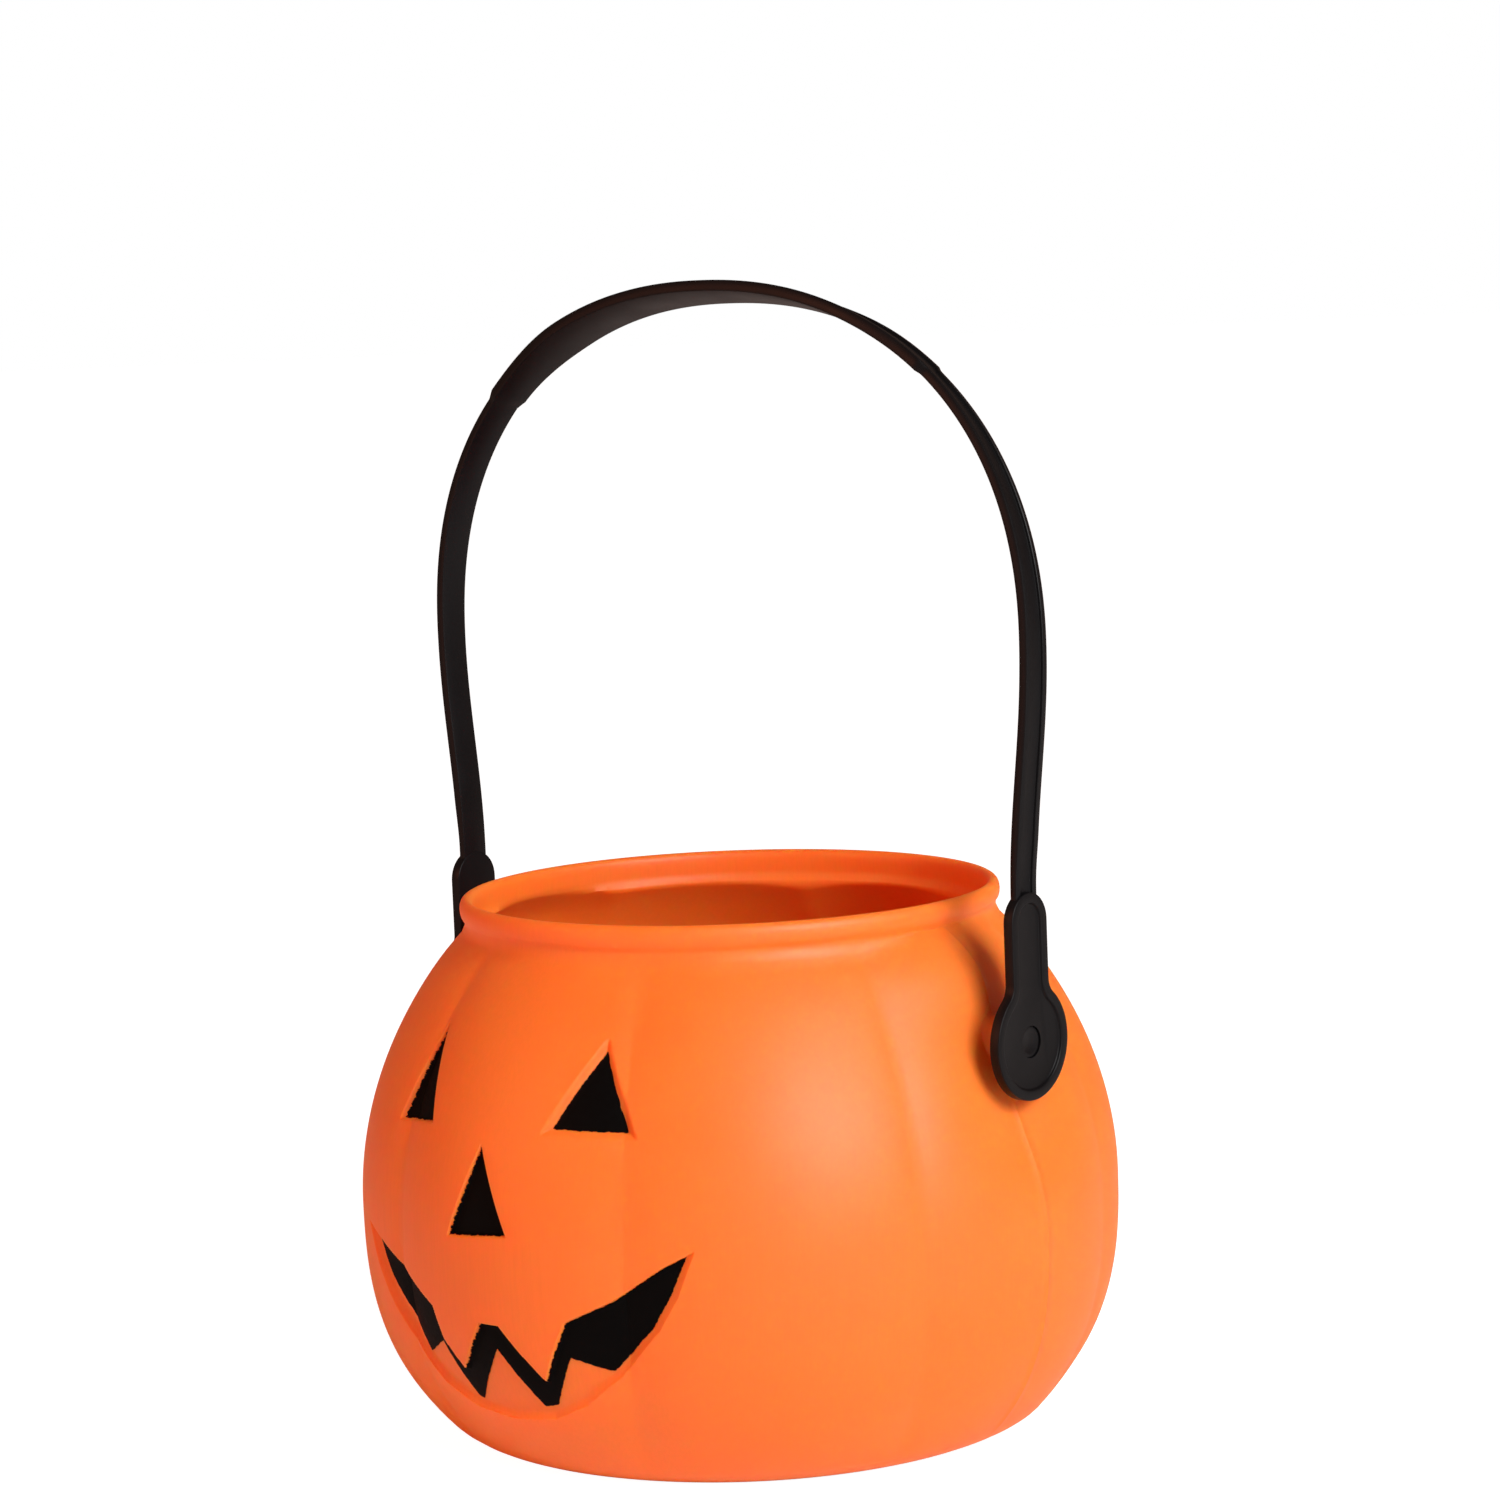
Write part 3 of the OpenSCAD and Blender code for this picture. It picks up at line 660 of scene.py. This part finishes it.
def keyhole(disc, half_neck, top, fillet):
    """Outline of a pad with its neck: a disc below, a fillet on each side and a round top."""
    up = math.sqrt((disc + fillet) ** 2 - (half_neck + fillet) ** 2)
    leave = math.atan2(up, half_neck + fillet)
    outline = [(disc * math.sin(t), -disc * math.cos(t))
               for t in np.linspace(0, math.pi / 2 + leave, 42)]
    outline += [(half_neck + fillet - fillet * math.cos(t), up - fillet * math.sin(t))
                for t in np.linspace(leave, 0, 9)[1:]]
    outline += [(half_neck * math.cos(t), top - half_neck + half_neck * math.sin(t))
                for t in np.linspace(0, math.pi / 2, 13)]
    return outline + [(-across, high) for across, high in reversed(outline[1:-1])]


def pad(back, s):
    """A pad from its back face at x outwards, with rounded edges and a shallow pocket."""
    outline = keyhole(PAD_R, NECK_W / 2, NECK_TOP, NECK_FILLET)
    piece = trace("pad", [(back, s * across, PIVOT_Z + high) for across, high in outline])
    bpy.ops.mesh.select_all(action="SELECT")
    bpy.ops.mesh.edge_face_add()
    bpy.ops.mesh.extrude_region_move(TRANSFORM_OT_translate={"value": (s * PAD_T * MM, 0, 0)})
    bpy.ops.mesh.inset(thickness=PAD_BORDER * MM, depth=0)
    bpy.ops.mesh.inset(thickness=POCKET_SIDE * MM, depth=-GROOVE * MM)
    close_up(piece)
    bevel = piece.modifiers.new("edges", "BEVEL")
    bevel.width = PAD_EDGE * MM
    bevel.segments = 3
    bevel.limit_method = "ANGLE"
    bevel.angle_limit = math.radians(35)
    bpy.ops.object.modifier_apply(modifier="edges")
    return piece


# Each pad has a seat for its stud's head and a hole for the shank
HEAD_R, HEAD_H, SEAT_GAP, HEAD_SINK = 4.1, 0.8, 0.05, 0.4
SHANK_R, SHANK_FIT = 3.2, 0.02
RIGHT_BACK = PAD_X + SIDE_PLAY - PAD_T / 2      # back face of the pad at +X
LEFT_BACK = -PAD_X + SIDE_PLAY + PAD_T / 2      # and of the one at -X
for s, back in ((1, RIGHT_BACK), (-1, LEFT_BACK)):
    plate = pad(back, s)
    seat = back + s * (PAD_T - GROOVE - HEAD_SINK - HEAD_H)
    use_tool(plate, rod(seat, seat + s * 8, HEAD_R + SEAT_GAP), "DIFFERENCE")
    use_tool(plate, rod(back - s * 3, back + s * 6, SHANK_R + SHANK_FIT), "DIFFERENCE")
    use_tool(strap, plate, "UNION")
bpy.ops.object.shade_smooth_by_angle(angle=math.radians(35))

# Injection-moulded polypropylene: a satin black with the fine grain of a spark-eroded mould,
# drawn at half a millimetre so that it shows, and patches that shine a little more or less
# where the melt flowed.
strap_black = new_material("injection_moulded_polypropylene")
grain_size, flow_size = 0.5 * MM, 12 * MM
place = add(strap_black, "ShaderNodeTexCoord").outputs["Object"]
grain = add(strap_black, "ShaderNodeTexNoise", {"Scale": 1 / grain_size, "Detail": 2},
            {"Vector": place})
flow = add(strap_black, "ShaderNodeTexNoise", {"Scale": 1 / flow_size, "Detail": 3},
           {"Vector": place})
shade = add(strap_black, "ShaderNodeMix",
            {"data_type": "RGBA", COLOUR_A: linear("#070708"), COLOUR_B: linear("#0B0B0D")},
            {"Factor": flow.outputs["Fac"]})
rough = add(strap_black, "ShaderNodeMapRange", {"To Min": 0.34, "To Max": 0.52},
            {"Value": flow.outputs["Fac"]})
fine = add(strap_black, "ShaderNodeBump", {"Strength": 0.35, "Distance": 0.03 * MM},
           {"Height": grain.outputs["Fac"]})
shader = add(strap_black, "ShaderNodeBsdfPrincipled", {"IOR": 1.49, "Specular IOR Level": 0.15},
             {"Base Color": shade.outputs[COLOUR_OUT], "Roughness": rough.outputs[0],
              "Normal": fine.outputs[0]})
add(strap_black, "ShaderNodeOutputMaterial", (), {"Surface": shader.outputs[0]})
dress(strap, strap_black)
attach(strap, "handle")
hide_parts("handle_strap")


# ------------------------------------------------------------------------------------------
# Studs: two round snap studs of the same moulded black polypropylene. Each head lies in a seat
# in its pad, and the shank runs through the boss to a round barb inside the pail.

BARB_R, BARB_L, BARB_PLAY = 4.8, 6, 0.3
STUD_REACH = RIGHT_BACK - BOSS_IN + BARB_PLAY


def stud(name, back, s):
    """A stud spun from its half outline, which runs from the head to the tip of the barb."""
    head = PAD_T - GROOVE - HEAD_SINK
    neck = -STUD_REACH
    shape = [(head - 0.12, 0), (head - 0.12, HEAD_R - 1.3), (head, HEAD_R - 1.1),
             (head, HEAD_R - 0.25), (head - 0.07, HEAD_R - 0.07), (head - 0.25, HEAD_R),
             (head - HEAD_H + 0.1, HEAD_R), (head - HEAD_H, HEAD_R - 0.1), (head - HEAD_H, SHANK_R),
             (neck, SHANK_R), (neck, BARB_R - 0.5), (neck - 0.2, BARB_R - 0.1),
             (neck - 0.8, BARB_R), (neck - BARB_L + 0.6, SHANK_R - 0.5),
             (neck - BARB_L, SHANK_R - 1.2), (neck - BARB_L, 0)]
    piece = trace(name, [(back + s * x, 0, PIVOT_Z + r) for x, r in shape])
    bpy.ops.mesh.select_all(action="SELECT")
    bpy.ops.mesh.spin(steps=72, angle=2 * math.pi, center=(0, 0, PIVOT_Z * MM), axis=(1, 0, 0))
    close_up(piece)
    bpy.ops.object.shade_smooth_by_angle(angle=math.radians(40))
    dress(piece, strap_black)
    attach(piece, "handle")
    return piece


stud_right = stud("stud_right_turned", RIGHT_BACK, 1)
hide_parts("stud_right")
stud_left = stud("stud_left_turned", LEFT_BACK, -1)
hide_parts("stud_left")


# ------------------------------------------------------------------------------------------
# Floor and light: a plain white floor, a large soft white lamp high on the right, and an
# orange-red one on the left that keeps the shaded side of the pail deep in colour. The surround
# is white to the camera, and weak and warm to the pail.

FLOOR_SIZE = 40                         # in metres, as are the places and sizes of the lamps
FLOOR_WHITE = 0.9
FLOOR_GLOW, GLOW_SHARE = 1.62, 0.6      # a glow that the camera alone sees, and its share there
SURROUND_TONE = (0.22, 0.13, 0.1, 1)
AIM = Vector((0, 0, 0.11))

bpy.ops.object.select_all(action="DESELECT")
bpy.ops.mesh.primitive_plane_add(size=FLOOR_SIZE)
floor_sheet = bpy.context.active_object
floor_sheet.name = "floor"
white = new_material("white_floor")
plain = add(white, "ShaderNodeBsdfDiffuse", {"Color": (FLOOR_WHITE, FLOOR_WHITE, FLOOR_WHITE, 1)})
bright = add(white, "ShaderNodeEmission", {"Strength": FLOOR_GLOW})
seen = add(white, "ShaderNodeLightPath")
share = add(white, "ShaderNodeMath", {"operation": "MULTIPLY", 1: GLOW_SHARE},
            {0: seen.outputs["Is Camera Ray"]})
shader = add(white, "ShaderNodeMixShader", (),
             {0: share.outputs[0], 1: plain.outputs[0], 2: bright.outputs[0]})
add(white, "ShaderNodeOutputMaterial", (), {"Surface": shader.outputs[0]})
dress(floor_sheet, white)


def lamp(name, place, size, power, colour):
    """A round soft lamp that points at the pail."""
    light = bpy.data.lights.new(name, "AREA")
    light.shape = "DISK"
    light.size = size
    light.energy = power
    light.color = colour
    holder = bpy.data.objects.new(name, light)
    bpy.context.scene.collection.objects.link(holder)
    holder.location = place
    holder.rotation_euler = (AIM - Vector(place)).to_track_quat("-Z", "Y").to_euler()


lamp("key", (1.7, -0.45, 1.05), 1.1, 50, (1, 1, 1))
lamp("fill", (-0.9, -1.8, 0.8), 1.2, 16, (1, 0.3, 0.16))

world = bpy.data.worlds.new("surround")
bpy.context.scene.world = world
world.use_nodes = True
path = add(world, "ShaderNodeLightPath")
tone = add(world, "ShaderNodeMix",
           {"data_type": "RGBA", COLOUR_A: SURROUND_TONE, COLOUR_B: (1, 1, 1, 1)},
           {"Factor": path.outputs["Is Camera Ray"]})
background = world.node_tree.nodes["Background"]
world.node_tree.links.new(tone.outputs[COLOUR_OUT], background.inputs["Color"])
